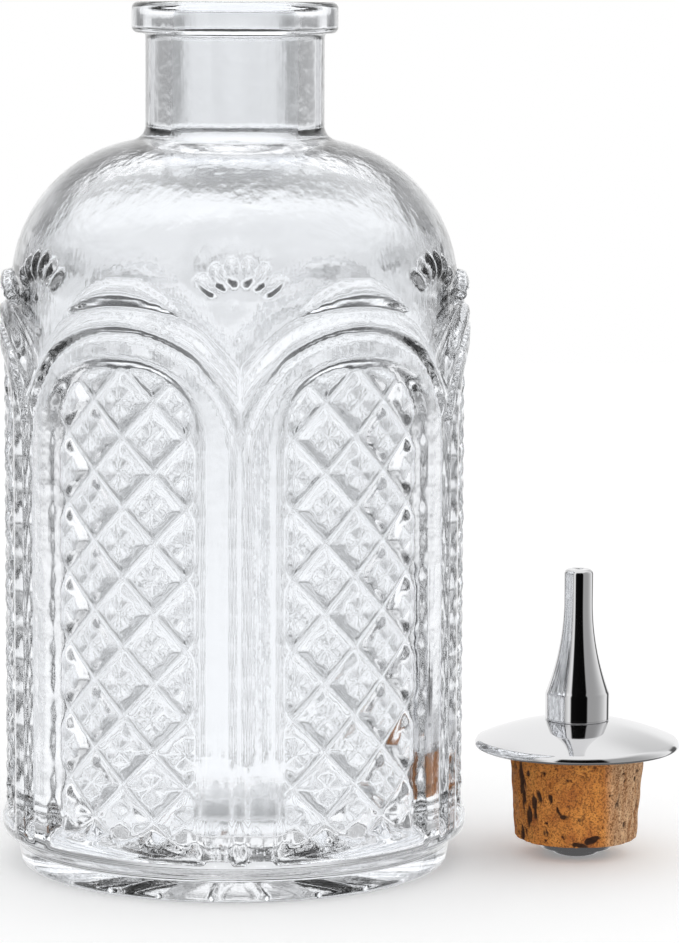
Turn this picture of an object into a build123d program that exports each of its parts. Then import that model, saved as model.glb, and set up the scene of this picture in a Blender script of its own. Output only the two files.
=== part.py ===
from build123d import *
from math import acos, asin, ceil, cos, floor, hypot, radians, sin, sqrt, tan
import os

# A bitters bottle of clear pressed glass, and its dasher stopper, which is taken
# off and stands beside it. Lengths are millimetres and +Z is up. The origin is the
# middle of the bottle's foot, on the surface that both stand on. The stopper
# stands on the +X side.

os.makedirs("parts", exist_ok=True)

# Shared by every piece
cut_overrun = 1.0
seat_clearance = 0.05
edge_match = 0.02

# Bottle, outside of the plain glass
bottle_height = 117.1
lip_radius = 13.95
lip_height = 4.2
lip_bevel = 0.6
neck_radius = 12.1
neck_height = 14.1
neck_flare = 1.2
shoulder_radius = 20.0
body_radius = 30.3
foot_inset = 1.0
foot_height = 3.8
foot_flare = 0.5
foot_bevel = 0.7
base_ring_height = 4.4
base_ring_reach = 1.6
base_ring_face = 1.6

# Bottle, inside of the glass
neck_bore_radius = 8.6
mouth_bevel = 0.7
glass_wall = 3.0
floor_thickness = 6.5
floor_bevel = 3.5
inner_shoulder_steps = 4

# Bottle, underside
foot_ring_width = 6.8
dish_depth = 1.4
ray_count = 24
ray_start = 9.0
ray_margin = 1.9
ray_width = 1.8
ray_depth = 0.9

# Pressed relief: six round-topped panels, each framed by two arched bands
panel_count = 6
arch_drop = 20.1
lattice_arch_lift = 1.4
channel_width = 1.3
inner_band_width = 4.1
inner_band_rise = 1.4
bevel_width = 1.4
bevel_depth = 1.1
band_groove_width = 0.6
band_groove_rise = 0.55
outer_band_width = 3.5
outer_band_rise = 1.05
band_edge_bevel = 0.4

# Pressed relief: the diamond lattice that fills each panel
diamond_width = 8.9
diamond_height = 9.17
first_node_lift = 2.3
main_groove_rise = 0.1
fine_groove_rise = 0.55
stud_rise = 0.85
lattice_backing = 0.5
lattice_tuck = 0.6

# Pressed relief: the crescent over each panel
crescent_half_span = 8.2
crescent_lift = 18.2
crescent_outer_rise = 4.3
crescent_inner_rise = 1.6
crescent_rise = 0.85

# Pressed relief: the fan of seeds over each column between two panels
seed_count = 6
seed_pitch_angle = 17.0
seed_length = 3.4
seed_width = 1.5
seed_rise = 0.55
seed_slope_angle = 40.0
fan_drop = 2.6
fan_radius = 6.3
seed_sink = 0.3

# Stopper, its place and its cork
stopper_gap = 1.35
cork_length = 12.6
cork_entry_clearance = 0.2
cork_squeeze = 0.65
cork_edge = 0.4

# Stopper, the metal cover that the thumb presses on
cover_radius = 14.15
cover_rim_height = 1.0
cover_rim_bevel = 0.35
cover_dome_rise = 2.85

# Stopper, the pouring nozzle
nozzle_base_radius = 4.45
nozzle_base_height = 3.5
nozzle_shoulder = 0.4
nozzle_flare_length = 10.8
nozzle_flare_sag = 0.35
nozzle_tip_radius = 2.02
nozzle_tip_length = 6.3
nozzle_tip_rounding = 0.7
nozzle_orifice_radius = 0.6

# Stopper, the hollow bolt that clamps it together, and the washer under its head
bolt_radius = 2.1
bolt_bore_radius = 1.1
bolt_engagement = 4.0
bolt_head_radius = 3.45
bolt_head_height = 1.0
bolt_head_flat_radius = 2.2
washer_top_radius = 5.55
washer_bottom_radius = 5.0
washer_height = 1.4
washer_edge = 0.3

# Stopper, the seal under the nozzle and the dash insert inside its tip
gasket_radius = 3.4
gasket_height = 0.6
insert_radius = 1.35
insert_length = 4.0
insert_bore_radius = 0.4

# Worked out from the sizes above
shoulder_centre = body_radius - shoulder_radius
shoulder_top = bottle_height - lip_height - neck_height
shoulder_start = shoulder_top - sqrt(shoulder_radius**2 - (neck_radius - shoulder_centre)**2)
inner_radius = body_radius - glass_wall
inner_shoulder_radius = shoulder_radius - glass_wall
throat_angle = acos((neck_bore_radius - shoulder_centre) / inner_shoulder_radius)
foot_radius = body_radius - foot_inset
dish_radius = foot_radius - foot_ring_width
ray_end = foot_radius - ray_margin
relief_foot = foot_height + base_ring_height / 2
panel_angle = 360 / panel_count
arch_spring = shoulder_start - arch_drop
band_joint = (body_radius + inner_band_rise) * sin(radians(panel_angle / 2)) - channel_width / 2
band_inner_edge = band_joint - inner_band_width
lattice_edge = band_inner_edge - bevel_width
outer_band_foot = band_joint + band_groove_width
outer_band_edge = outer_band_foot + outer_band_width
first_node_height = arch_spring + first_node_lift
crescent_tip_height = arch_spring + crescent_lift
fan_centre_height = shoulder_start - fan_drop


def raised_body(rise):
    """The body as a plain solid, thicker than the plain glass by this rise.

    It is turned from a section at the side, so that its seam runs down no panel.
    """
    wall = body_radius + rise
    radius = shoulder_radius + rise
    crown = shoulder_start + radius
    with BuildPart() as body:
        with BuildSketch(Plane.YZ):
            with BuildLine():
                Line((wall, relief_foot), (wall, shoulder_start))
                RadiusArc((wall, shoulder_start), (shoulder_centre, crown), -radius)
                Polyline((shoulder_centre, crown), (0, crown), (0, relief_foot), (wall, relief_foot))
            make_face()
        revolve(axis=Axis.Z)
    return body.part


def arch(half_width, lift=0, mode=Mode.ADD):
    """A round-topped opening of this half width, down to the base ring.

    Its round top springs from the arches' common height, or this much above it.
    """
    spring = arch_spring + lift
    with Locations((0, spring)):
        Circle(half_width, mode=mode)
    with Locations((0, (spring + relief_foot) / 2)):
        Rectangle(2 * half_width, spring - relief_foot, mode=mode)


# The wedge of one panel, between the middles of the two columns beside it.
with BuildPart() as sector:
    with BuildSketch(Plane.XY):
        reach = body_radius + shoulder_radius
        half_width = reach * tan(radians(panel_angle / 2))
        Polygon((0, 0), (reach, -half_width), (reach, half_width), align=None)
    extrude(amount=bottle_height)


def rim(part, rise, half_width, lift=0):
    """The top edges of a raised arch that follow the arch of this half width and lift."""
    edges = ShapeList()
    for edge in part.edges():
        middle = edge @ 0.5
        across = hypot(middle.Y, max(middle.Z - arch_spring - lift, 0))
        on_top = abs(hypot(middle.X, middle.Y) - body_radius - rise) < edge_match
        if on_top and abs(across - half_width) < edge_match:
            edges.append(edge)
    return edges


# Ground of the arches: the level of the groove between the two bands, and of the
# channel that runs down the middle of each column.
with BuildPart() as arch_ground:
    with BuildSketch(Plane.YZ):
        arch((outer_band_foot + outer_band_edge) / 2)
        arch((lattice_edge + band_joint) / 2, mode=Mode.SUBTRACT)
    extrude(amount=body_radius + band_groove_rise + cut_overrun)
    add(raised_body(band_groove_rise), mode=Mode.INTERSECT)
    add(sector.part, mode=Mode.INTERSECT)

# Outer band: it springs from the channel between two columns and runs out to a
# point there.
with BuildPart() as outer_band:
    with BuildSketch(Plane.YZ):
        arch(outer_band_edge)
        arch(outer_band_foot, mode=Mode.SUBTRACT)
    extrude(amount=body_radius + outer_band_rise + cut_overrun)
    add(raised_body(outer_band_rise), mode=Mode.INTERSECT)
    chamfer(rim(outer_band, outer_band_rise, outer_band_edge), band_edge_bevel)
    add(sector.part, mode=Mode.INTERSECT)

# Inner band: it stands a little prouder, and a bevel leads down to the lattice. The
# arch of the lattice stands higher, so the band is narrower at its crown.
with BuildPart() as inner_band:
    with BuildSketch(Plane.YZ):
        arch(band_joint)
        arch(lattice_edge, lattice_arch_lift, mode=Mode.SUBTRACT)
    extrude(amount=body_radius + inner_band_rise + cut_overrun)
    add(raised_body(inner_band_rise), mode=Mode.INTERSECT)
    chamfer(
        rim(inner_band, inner_band_rise, lattice_edge, lattice_arch_lift),
        length=band_inner_edge - lattice_edge,
        length2=bevel_depth,
        reference=inner_band.faces().filter_by(GeomType.CYLINDER).sort_by(Axis.X)[-1],
    )
    chamfer(rim(inner_band, inner_band_rise, band_joint), band_edge_bevel)


def lattice_point(column, row):
    """A point of the lattice, counted in quarter diamonds from the first node.

    Odd counts are the tips of the studs. Even counts lie in a main groove, or where
    two fine grooves cross in the middle of a diamond.
    """
    if (column + row) % 2:
        rise = stud_rise
    elif (column + row) % 4 and (column - row) % 4:
        rise = fine_groove_rise
    else:
        rise = main_groove_rise
    angle = column * diamond_width / 4 / body_radius
    radius = body_radius + rise
    return Vector(radius * cos(angle), radius * sin(angle), first_node_height + row * diamond_height / 4)


def lattice_block():
    """The diamond-cut lattice of one panel as a solid block of flat facets."""
    half_width = lattice_edge + lattice_tuck
    columns = ceil(4 * body_radius * asin(half_width / body_radius) / diamond_width)
    crown = arch_spring + lattice_arch_lift + half_width
    top_row = ceil(4 * (crown - first_node_height) / diamond_height)
    bottom_row = floor(4 * (relief_foot - first_node_height) / diamond_height)
    depth = body_radius * cos(columns * diamond_width / 4 / body_radius) - lattice_backing
    facets = []
    for column in range(-columns, columns):
        for row in range(bottom_row, top_row):
            near = lattice_point(column, row)
            beside = lattice_point(column + 1, row)
            above = lattice_point(column, row + 1)
            across = lattice_point(column + 1, row + 1)
            if (column + row) % 2:
                facets += [(near, beside, above), (beside, across, above)]
            else:
                facets += [(near, beside, across), (near, across, above)]

    def behind(column, row):
        """The point on the block's flat back that this point's radius meets."""
        angle = column * diamond_width / 4 / body_radius
        height = first_node_height + row * diamond_height / 4
        return Vector(depth, depth * tan(angle), height)

    left = [lattice_point(-columns, row) for row in range(bottom_row, top_row + 1)]
    right = [lattice_point(columns, row) for row in range(bottom_row, top_row + 1)]
    bottom = [lattice_point(column, bottom_row) for column in range(-columns, columns + 1)]
    top = [lattice_point(column, top_row) for column in range(-columns, columns + 1)]
    low_left, low_right = behind(-columns, bottom_row), behind(columns, bottom_row)
    high_left, high_right = behind(-columns, top_row), behind(columns, top_row)
    facets.append(left + [high_left, low_left])
    facets.append(right + [high_right, low_right])
    facets.append(bottom + [low_right, low_left])
    facets.append(top + [high_right, high_left])
    facets.append([low_left, low_right, high_right, high_left])
    return Solid(Shell([Face(Wire.make_polygon(facet)) for facet in facets]))


# Lattice: diamonds in two columns, each cut by fine grooves into four studs. Its
# edges tuck under the bevel, which leaves part diamonds there.
with BuildPart() as lattice:
    add(lattice_block())
    with BuildSketch(Plane.YZ):
        arch(lattice_edge + lattice_tuck, lattice_arch_lift)
    extrude(amount=body_radius + stud_rise + cut_overrun, mode=Mode.INTERSECT)

# Crescent: a raised moon that rests over the crown of each arch.
with BuildPart() as crescent:
    with BuildSketch(Plane.YZ):
        with BuildLine():
            tips = (-crescent_half_span, crescent_tip_height), (crescent_half_span, crescent_tip_height)
            ThreePointArc(tips[0], (0, crescent_tip_height + crescent_outer_rise), tips[1])
            ThreePointArc(tips[0], (0, crescent_tip_height + crescent_inner_rise), tips[1])
        make_face()
    extrude(amount=body_radius + crescent_rise + cut_overrun)
    add(raised_body(crescent_rise), mode=Mode.INTERSECT)

# Fan: slim seeds, each cut to a flat top, that radiate over each column.
with BuildPart() as seed:
    with BuildSketch(Plane.XY):
        with BuildLine():
            Polyline(
                (seed_length / 2, 0),
                (seed_length / 4, seed_width / 2),
                (-seed_length / 4, seed_width / 2),
                (-seed_length / 2, 0),
                (-seed_length / 4, -seed_width / 2),
                (seed_length / 4, -seed_width / 2),
                close=True,
            )
        make_face()
    extrude(amount=seed_rise + seed_sink, taper=seed_slope_angle)


def seed_plane(number):
    """The place of a seed: along its fan's radius, sunk a little into the shoulder."""
    lean = radians(seed_pitch_angle * (number - (seed_count - 1) / 2))
    height = fan_centre_height + fan_radius * cos(lean)
    azimuth = radians(panel_angle / 2) + fan_radius * sin(lean) / body_radius
    tilt = asin(max(height - shoulder_start, 0) / shoulder_radius)
    radius = shoulder_centre + shoulder_radius * cos(tilt)
    outward = Vector(cos(azimuth) * cos(tilt), sin(azimuth) * cos(tilt), sin(tilt))
    sideways = Vector(-sin(azimuth), cos(azimuth), 0)
    upward = outward.cross(sideways)
    place = Vector(radius * cos(azimuth), radius * sin(azimuth), height) - outward * seed_sink
    return Plane(origin=place, x_dir=sideways * sin(lean) + upward * cos(lean), z_dir=outward)


with BuildPart() as fan:
    with Locations(*[seed_plane(number) for number in range(seed_count)]):
        add(seed.part)

# Ray: a groove under the foot. Together the rays make a sunburst.
with BuildPart() as ray:
    with BuildSketch(Plane.YZ.offset(ray_start)):
        Polygon((-ray_width / 2, 0), (ray_width / 2, 0), (0, ray_depth), align=None)
    extrude(amount=ray_end - ray_start)

# Bottle: one piece of pressed glass. The plain form is turned, the relief is
# repeated round it, and the inside is cut last.
with BuildPart() as bottle:
    with BuildSketch(Plane.XZ) as outside:
        with BuildLine():
            ring_top = foot_height + base_ring_height
            ring_middle = foot_height + base_ring_height / 2
            lip_base = bottle_height - lip_height
            Polyline((0, 0), (foot_radius, 0), (foot_radius + foot_flare, foot_height))
            Line((foot_radius + foot_flare, foot_height), (body_radius, foot_height))
            Polyline(
                (body_radius, foot_height),
                (body_radius + base_ring_reach, ring_middle - base_ring_face / 2),
                (body_radius + base_ring_reach, ring_middle + base_ring_face / 2),
                (body_radius, ring_top),
                (body_radius, shoulder_start),
            )
            RadiusArc((body_radius, shoulder_start), (neck_radius, shoulder_top), -shoulder_radius)
            Polyline(
                (neck_radius, shoulder_top),
                (neck_radius, lip_base),
                (lip_radius, lip_base),
                (lip_radius, bottle_height),
                (0, bottle_height),
                (0, 0),
            )
        make_face()
        for corner, length in (
            ((foot_radius, 0), foot_bevel),
            ((neck_radius, shoulder_top), neck_flare),
            ((lip_radius, lip_base), lip_bevel),
            ((lip_radius, bottle_height), lip_bevel),
        ):
            chamfer(outside.vertices().sort_by_distance(corner)[0], length)
    revolve(axis=Axis.Z)
    with PolarLocations(0, panel_count):
        add([arch_ground.part, outer_band.part, inner_band.part, lattice.part, crescent.part, fan.part])
    with BuildSketch(Plane.XZ):
        with BuildLine():
            inner_shoulder = [
                (
                    shoulder_centre + inner_shoulder_radius * cos(step * throat_angle / inner_shoulder_steps),
                    shoulder_start + inner_shoulder_radius * sin(step * throat_angle / inner_shoulder_steps),
                )
                for step in range(inner_shoulder_steps + 1)
            ]
            Polyline(
                (0, floor_thickness),
                (inner_radius - floor_bevel, floor_thickness),
                (inner_radius, floor_thickness + floor_bevel),
                *inner_shoulder,
                (neck_bore_radius, bottle_height - mouth_bevel),
                (neck_bore_radius + mouth_bevel + cut_overrun, bottle_height + cut_overrun),
                (0, bottle_height + cut_overrun),
                close=True,
            )
        make_face()
    revolve(axis=Axis.Z, mode=Mode.SUBTRACT)
    with BuildSketch(Plane.XZ):
        with BuildLine():
            Polyline((dish_radius, 0), (0, 0), (0, dish_depth))
            TangentArc((0, dish_depth), (dish_radius, 0), tangent=(1, 0))
        make_face()
    revolve(axis=Axis.Z, mode=Mode.SUBTRACT)
    with PolarLocations(0, ray_count, start_angle=180 / ray_count):
        add(ray.part, mode=Mode.SUBTRACT)
bottle.part.label = "bottle"
export_step(bottle.part, "parts/bottle.step")

# Stopper: every piece is turned about one axis, so each is drawn in this plane.
stopper_x = body_radius + base_ring_reach + stopper_gap + cover_radius
stopper_side = Plane(origin=(stopper_x, 0, 0), x_dir=(1, 0, 0), z_dir=(0, -1, 0))
stopper_axis = Axis((stopper_x, 0, 0), (0, 0, 1))
washer_base = bolt_head_height
cork_base = washer_base + washer_height
cover_base = cork_base + cork_length
seat_height = cover_base + cover_rim_height + cover_dome_rise
nozzle_height = nozzle_base_height + nozzle_shoulder + nozzle_flare_length + nozzle_tip_length
bolt_top = seat_height + bolt_engagement
cork_bottom_radius = neck_bore_radius - cork_entry_clearance
cork_top_radius = neck_bore_radius + cork_squeeze
bolt_hole_radius = bolt_radius + seat_clearance

# Hollow bolt: a low domed head, and a tube that carries the liquid up to the nozzle.
with BuildPart() as hollow_bolt:
    with BuildSketch(stopper_side):
        with BuildLine():
            Polyline(
                (bolt_head_radius, bolt_head_height),
                (bolt_radius, bolt_head_height),
                (bolt_radius, bolt_top),
                (bolt_bore_radius, bolt_top),
                (bolt_bore_radius, 0),
                (bolt_head_flat_radius, 0),
            )
            TangentArc((bolt_head_flat_radius, 0), (bolt_head_radius, bolt_head_height), tangent=(1, 0))
        make_face()
    revolve(axis=stopper_axis)
hollow_bolt.part.label = "hollow_bolt"
export_step(hollow_bolt.part, "parts/hollow_bolt.step")

# Cup washer: it spreads the bolt's pull over the bottom of the cork.
with BuildPart() as cup_washer:
    with BuildSketch(stopper_side):
        with BuildLine():
            Polyline(
                (bolt_hole_radius, washer_base),
                (washer_bottom_radius, washer_base),
                (washer_top_radius, cork_base - washer_edge),
                (washer_top_radius, cork_base),
                (bolt_hole_radius, cork_base),
                close=True,
            )
        make_face()
    revolve(axis=stopper_axis)
cup_washer.part.label = "cup_washer"
export_step(cup_washer.part, "parts/cup_washer.step")

# Cork: a natural cork cut to a taper, bored through for the bolt.
with BuildPart() as cork:
    with BuildSketch(stopper_side):
        with BuildLine():
            Polyline(
                (bolt_hole_radius, cork_base),
                (cork_bottom_radius, cork_base),
                (cork_top_radius, cover_base),
                (bolt_hole_radius, cover_base),
                close=True,
            )
        make_face()
    revolve(axis=stopper_axis)
    chamfer(cork.edges().group_by(Axis.Z)[0].sort_by(SortBy.LENGTH)[-1], cork_edge)
cork.part.label = "cork"
export_step(cork.part, "parts/cork.step")

# Cover disc: a cast metal cap with a low dome, a bevelled rim and a flat seat on top.
with BuildPart() as cover_disc:
    with BuildSketch(stopper_side) as cover_section:
        with BuildLine():
            rim_height = cover_base + cover_rim_height
            seat_radius = nozzle_base_radius + seat_clearance
            gasket_seat = seat_height - gasket_height
            recess_radius = gasket_radius + seat_clearance
            Polyline(
                (seat_radius, seat_height),
                (recess_radius, seat_height),
                (recess_radius, gasket_seat),
                (bolt_hole_radius, gasket_seat),
                (bolt_hole_radius, cover_base),
                (cover_radius, cover_base),
                (cover_radius, rim_height),
            )
            dome_middle = (seat_radius + cover_radius) / 2
            dome_share = 1 - (dome_middle**2 - seat_radius**2) / (cover_radius**2 - seat_radius**2)
            ThreePointArc(
                (cover_radius, rim_height),
                (dome_middle, rim_height + cover_dome_rise * dome_share),
                (seat_radius, seat_height),
            )
        make_face()
        rim_corners = cover_section.vertices().group_by(Axis.X)[-1]
        chamfer(rim_corners, cover_rim_bevel)
    revolve(axis=stopper_axis)
cover_disc.part.label = "cover_disc"
export_step(cover_disc.part, "parts/cover_disc.step")

# Gasket: a flat rubber ring between the cover and the nozzle.
with BuildPart() as nozzle_gasket:
    with BuildSketch(Plane(origin=(stopper_x, 0, gasket_seat))):
        Circle(gasket_radius)
        Circle(bolt_hole_radius, mode=Mode.SUBTRACT)
    extrude(amount=gasket_height)
nozzle_gasket.part.label = "nozzle_gasket"
export_step(nozzle_gasket.part, "parts/nozzle_gasket.step")

# Nozzle: a turned tube that flares down from its pouring tip to a broad base.
insert_hole_radius = insert_radius + seat_clearance
nozzle_top = seat_height + nozzle_height
insert_top = nozzle_top - nozzle_tip_rounding
insert_base = insert_top - insert_length
with BuildPart() as nozzle:
    with BuildSketch(stopper_side) as nozzle_section:
        with BuildLine():
            shoulder_foot = (nozzle_base_radius, seat_height + nozzle_base_height)
            flare_foot = (shoulder_foot[0] - nozzle_shoulder, shoulder_foot[1] + nozzle_shoulder)
            flare_top = (nozzle_tip_radius, nozzle_top - nozzle_tip_length)
            Polyline((bolt_hole_radius, seat_height), (nozzle_base_radius, seat_height), shoulder_foot)
            Line(shoulder_foot, flare_foot)
            SagittaArc(flare_foot, flare_top, nozzle_flare_sag)
            Polyline(
                flare_top,
                (nozzle_tip_radius, nozzle_top),
                (nozzle_orifice_radius, nozzle_top),
                (nozzle_orifice_radius, insert_top),
                (insert_hole_radius, insert_top),
                (insert_hole_radius, insert_base),
                (bolt_hole_radius, bolt_top + seat_clearance),
                (bolt_hole_radius, seat_height),
            )
        make_face()
        tip_corner = nozzle_section.vertices().sort_by_distance((nozzle_tip_radius, nozzle_top))[0]
        fillet(tip_corner, nozzle_tip_rounding)
    revolve(axis=stopper_axis)
nozzle.part.label = "nozzle"
export_step(nozzle.part, "parts/nozzle.step")

# Dash insert: a plastic plug with a pinhole, which makes the drops.
with BuildPart() as dash_insert:
    with BuildSketch(Plane(origin=(stopper_x, 0, insert_base))):
        Circle(insert_radius)
        Circle(insert_bore_radius, mode=Mode.SUBTRACT)
    extrude(amount=insert_length)
dash_insert.part.label = "dash_insert"
export_step(dash_insert.part, "parts/dash_insert.step")
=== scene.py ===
from math import asin, cos, degrees, radians, sin

import bpy
import numpy as np
from mathutils import Matrix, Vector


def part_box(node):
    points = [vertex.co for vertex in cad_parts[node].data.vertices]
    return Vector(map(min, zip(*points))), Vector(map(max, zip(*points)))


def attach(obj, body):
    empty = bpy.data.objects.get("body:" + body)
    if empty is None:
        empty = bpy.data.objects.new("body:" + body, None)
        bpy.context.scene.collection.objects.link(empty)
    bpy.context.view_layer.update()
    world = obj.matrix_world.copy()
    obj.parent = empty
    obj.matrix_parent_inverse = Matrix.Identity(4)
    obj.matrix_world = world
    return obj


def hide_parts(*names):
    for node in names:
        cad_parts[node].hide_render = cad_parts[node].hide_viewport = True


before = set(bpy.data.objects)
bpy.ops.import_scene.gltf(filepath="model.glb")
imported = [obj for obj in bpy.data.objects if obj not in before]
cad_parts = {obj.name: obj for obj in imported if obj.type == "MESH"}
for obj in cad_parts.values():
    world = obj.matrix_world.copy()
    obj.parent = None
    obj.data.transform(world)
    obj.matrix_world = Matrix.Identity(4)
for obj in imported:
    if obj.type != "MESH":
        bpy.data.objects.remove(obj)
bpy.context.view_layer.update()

# A bitters bottle of pressed glass, with its dasher stopper standing beside it.
# Lengths are metres: a size in millimetres is a number times mm.
mm = 0.001

# Bottle: one piece of clear soda glass. An iron mould presses six arched panels of diamonds
# into its outside, and the inside is blown, so it is smooth and a little wavy. It is fire
# polished, which rounds every edge of the relief.
bottle_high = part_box("bottle")[1]
bottle_height = bottle_high.z
base_ring_radius = bottle_high.x
base_ring_reach = 1.6 * mm
body_radius = base_ring_radius - base_ring_reach
shoulder_radius = 20.0 * mm
shoulder_start = 78.9 * mm
shoulder_centre = body_radius - shoulder_radius
neck_radius = 12.1 * mm
neck_fillet = 2.0 * mm
lip_radius = 13.95 * mm
lip_base = bottle_height - 4.2 * mm
lip_fillet = 0.5 * mm
lip_rounding = 0.9 * mm
bore_radius = 8.6 * mm
mouth_rounding = 1.8 * mm
glass_wall = 3.0 * mm
floor_thickness = 6.5 * mm
floor_crown = 0.6 * mm
floor_rounding = 5.0 * mm
throat_fillet = 3.0 * mm
foot_radius = 29.3 * mm
foot_height = 3.8 * mm
foot_flare = 0.5 * mm
foot_rounding = 0.8 * mm
ring_middle = 6.0 * mm
ring_half_height = 2.2 * mm
dish_radius = 22.5 * mm
dish_depth = 1.4 * mm
panel_count = 6
panel_angle = radians(360 / panel_count)
arch_spring = 58.8 * mm
relief_top = 86.0 * mm
diamond_width = 8.9 * mm
diamond_height = 9.17 * mm
first_node = 61.1 * mm

# Columns and rows of the outside: five to a quarter diamond, so that every groove of the
# lattice runs through corners of the grid, and wider columns beside the lattice. The plain
# glass has one column for every three.
steps = 5
lattice_columns = 42
side_columns = 26
row_pitch = diamond_height / 4 / steps
half_lattice = lattice_columns / 2 * diamond_width / 4 / steps / body_radius
across_panel = np.concatenate([
    np.linspace(-half_lattice, half_lattice, lattice_columns, endpoint=False),
    np.linspace(half_lattice, panel_angle - half_lattice, side_columns, endpoint=False),
])
fine_angles = np.concatenate([across_panel + k * panel_angle for k in range(panel_count)])
plain_angles = fine_angles[1::3]


def arc(centre, radius, start, end, count):
    """Points on a circle: centre + radius (cos a, sin a), with a in degrees in equal steps."""
    a = np.radians(np.linspace(start, end, count + 1))
    return np.column_stack([centre[0] + radius * np.cos(a), centre[1] + radius * np.sin(a)])


def line(start, end, count):
    """Points on a straight line, closer together at its ends: start + t (end - start) with
    t = (1 - cos(pi k / count)) / 2, so that a rounded corner's shading stays in the corner."""
    t = (1 - np.cos(np.pi * np.arange(count + 1) / count)) / 2
    return np.asarray(start) + t[:, None] * (np.asarray(end) - np.asarray(start))


def outline(*stretches):
    """Joins stretches of points and leaves out each point that repeats the one before it."""
    points = np.vstack(stretches)
    step = np.hypot(*np.diff(points, axis=0).T)
    return points[np.concatenate([[True], step > 1e-6])]


def soft_step(x, edge, width):
    """0 below the edge and 1 above it, with the curve 3t^2 - 2t^3 over this width."""
    t = np.clip((x - edge) / width + 0.5, 0, 1)
    return t * t * (3 - 2 * t)


def lattice(along, up):
    """Height of the diamond lattice, counted in quarter diamonds along and up.
    p = up + along and q = up - along are folded to 0..2, from a main groove to a fine one.
    A wall's height rises with p from the deep groove to a stud and falls a little to the fine
    groove, and the height is the lesser of that of p and that of q."""
    path = (0.0, 0.15, 0.7, 1.0, 1.6, 2.0)
    wall = np.array([0.0, 0.06, 0.96, 1.08, 0.95, 0.72]) * mm
    p = 2 - np.abs((up + along) % 4 - 2)
    q = 2 - np.abs((up - along) % 4 - 2)
    return np.minimum(np.interp(p, path, wall), np.interp(q, path, wall))


def crescent(across, z):
    """Height of the crescent over an arch. Three arcs meet at its tips. The upper face rises
    from the outer arc over a round edge, h sqrt(t (2 - t)), and evenly on to the ridge arc, and
    the lower face falls evenly from there to the lower arc. The height is the lesser of both."""
    half_span, tip = 8.2 * mm, 77.0 * mm
    outer_rise, ridge_rise, lower_rise = 4.3 * mm, 2.6 * mm, 0.7 * mm
    ridge_height, edge_height, rounding, least_width = 1.65 * mm, 1.0 * mm, 0.4 * mm, 0.05 * mm
    inside = []
    for rise in (outer_rise, ridge_rise, lower_rise):
        radius = (half_span**2 + rise**2) / (2 * rise)
        inside.append(radius - np.hypot(across, z - (tip + rise - radius)))
    outer, ridge, lower = inside
    t = np.clip(outer / rounding, 0, 1)
    way_up = np.clip(outer / np.maximum(outer - ridge, least_width), 0, 1)
    way_down = np.clip(-lower / np.maximum(ridge - lower, least_width), 0, 1)
    upper_face = edge_height * np.sqrt(t * (2 - t)) + (ridge_height - edge_height) * way_up
    return np.minimum(upper_face, ridge_height * way_down)


def seeds(beside, z):
    """Height of the fan of seeds over a column: half ellipsoids h sqrt(1 - (a/A)^2 - (b/B)^2),
    with a along each seed's own spoke and b across it, and two round dots under them."""
    centre, radius, count, pitch = 76.3 * mm, 6.3 * mm, 6, radians(17.5)
    length, width, height = 3.7 * mm, 1.65 * mm, 0.8 * mm
    dot_width, dot_height = 0.9 * mm, 0.35 * mm
    lean = pitch * (np.arange(count) - (count - 1) / 2)
    places = [(radius * sin(a), centre + radius * cos(a), a, length, width, height) for a in lean]
    places.append((-0.5 * mm, 78.2 * mm, 0, dot_width, dot_width, dot_height))
    places.append((0.0, 73.7 * mm, 0, dot_width, dot_width, dot_height))
    total = 0.0
    for x, y, a, long, wide, high in places:
        u, v = beside - x, z - y
        along = u * sin(a) + v * cos(a)
        across = u * cos(a) - v * sin(a)
        inside = np.clip(1 - (2 * along / long) ** 2 - (2 * across / wide) ** 2, 0, 1)
        total = np.maximum(total, high * np.sqrt(inside))
    return total


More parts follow.
